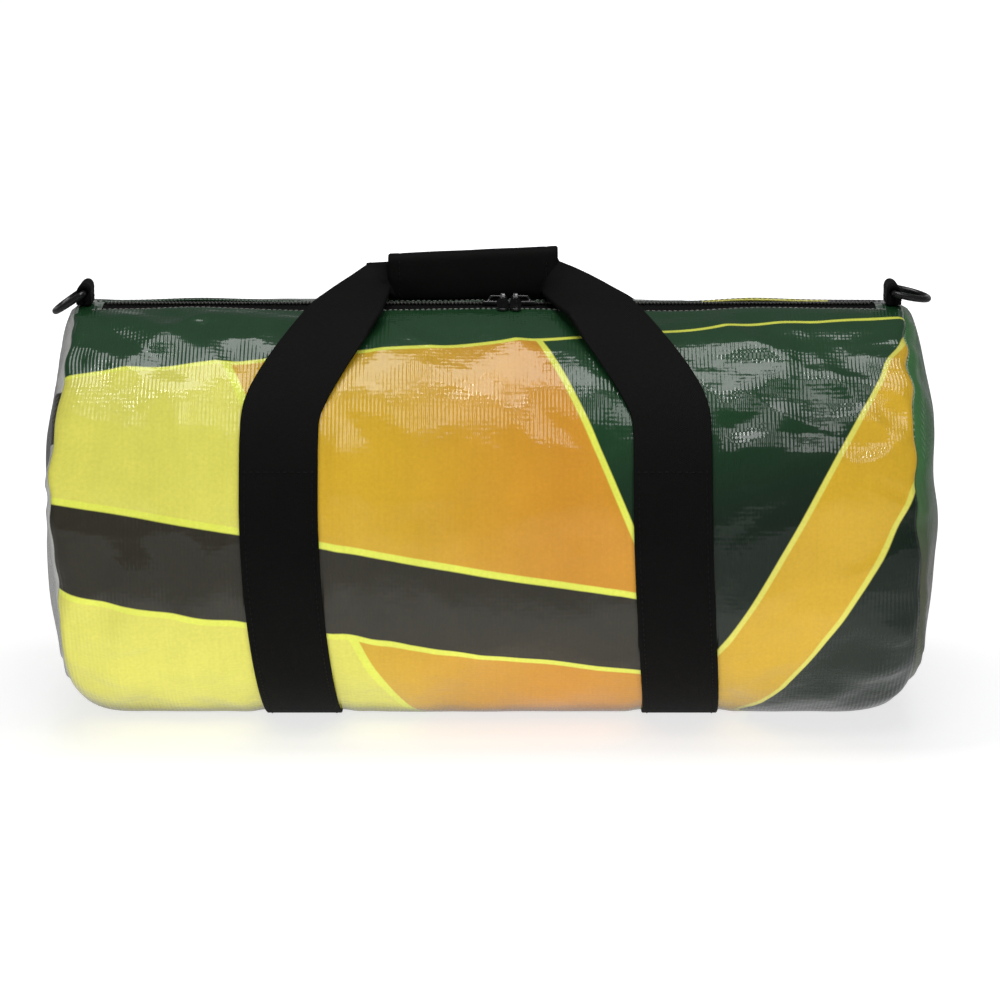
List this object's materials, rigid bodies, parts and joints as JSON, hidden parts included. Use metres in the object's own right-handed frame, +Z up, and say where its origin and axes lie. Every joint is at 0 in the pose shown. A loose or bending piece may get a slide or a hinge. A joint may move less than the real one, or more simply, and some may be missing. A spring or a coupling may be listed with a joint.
{
  "type": "barrel duffel bag",
  "caption": "Barrel duffel bag of glossy tarpaulin with sewn webbing straps, carry handles with a closing grip wrap, a two-way top zip and a swinging D-ring at each end.",
  "frame": {"origin": "on the floor, under the middle of the bag, midway between its front and back", "axes": "+X along the bag to the right seen from the front, +Y to the back, +Z up; the front faces -Y"},
  "size_m": [0.596, 0.2782, 0.3014],
  "materials": {
    "tarpaulin": "glossy printed banner sheet",
    "end_tarpaulin": "glossy printed banner sheet",
    "webbing": "woven, black",
    "zip_tape": "woven, black",
    "zip_teeth": "satin black",
    "zip_metal": "gloss black",
    "grip_cloth": "woven, black",
    "ring": "gloss black, moulded",
    "binding": "woven, black"
  },
  "bodies": {
    "bag": {"barrel_panel": "tarpaulin", "end_panel_left": "end_tarpaulin", "end_panel_right": "end_tarpaulin", "seam_binding_left": "binding", "seam_binding_right": "binding", "zip_tape_front": "zip_tape", "zip_tape_back": "zip_tape", "zip_teeth_front": "zip_teeth", "zip_teeth_back": "zip_teeth", "strap_band_left": "webbing", "strap_band_right": "webbing", "ring_tab_left": "webbing", "ring_tab_right": "webbing"},
    "left_slider": {"zip_slider_left": "zip_metal"},
    "right_slider": {"zip_slider_right": "zip_metal"},
    "left_pull": {"zip_pull_left": "zip_metal"},
    "right_pull": {"zip_pull_right": "zip_metal"},
    "front_handle": {"front_handle": "webbing", "grip_cover": "grip_cloth", "grip_loop_tape": "grip_cloth"},
    "back_handle": {"back_handle": "webbing"},
    "grip_flap": {"grip_flap": "grip_cloth", "grip_hook_tape": "grip_cloth"},
    "left_ring": {"d_ring_left": "ring"},
    "right_ring": {"d_ring_right": "ring"}
  },
  "joints": [
    {"name": "left_slider_run", "type": "slide", "parent": "bag", "child": "left_slider", "axis": [-1, 0, 0], "range_m": [0, 0.243], "deforming": ["zip_teeth_front", "zip_teeth_back"]},
    {"name": "right_slider_run", "type": "slide", "parent": "bag", "child": "right_slider", "axis": [1, 0, 0], "range_m": [0, 0.216], "deforming": ["zip_teeth_front", "zip_teeth_back"]},
    {"name": "left_pull_swing", "type": "hinge", "parent": "left_slider", "child": "left_pull", "pos_m": [0.0092, 0, 0.27589], "axis": [-1, 0, 0], "range_deg": [0, 100]},
    {"name": "right_pull_swing", "type": "hinge", "parent": "right_slider", "child": "right_pull", "pos_m": [0.0176, 0, 0.27589], "axis": [-1, 0, 0], "range_deg": [0, 100]},
    {"name": "front_handle_flop", "type": "hinge", "parent": "bag", "child": "front_handle", "pos_m": [-0.008, -0.12085, 0.20382], "axis": [1, 0, 0], "range_deg": [0, 175]},
    {"name": "back_handle_flop", "type": "hinge", "parent": "bag", "child": "back_handle", "pos_m": [-0.008, 0.12085, 0.20382], "axis": [-1, 0, 0], "range_deg": [0, 175]},
    {"name": "grip_flap_opening", "type": "hinge", "parent": "front_handle", "child": "grip_flap", "pos_m": [-0.0106, 0.0117, 0.29845], "axis": [1, 0, 0], "range_deg": [0, 110]},
    {"name": "left_ring_swing", "type": "hinge", "parent": "bag", "child": "left_ring", "pos_m": [-0.2675, 0, 0.27964], "axis": [0, 1, 0], "range_deg": [0, 190]},
    {"name": "right_ring_swing", "type": "hinge", "parent": "bag", "child": "right_ring", "pos_m": [0.2675, 0, 0.27964], "axis": [0, -1, 0], "range_deg": [0, 160]}
  ]
}
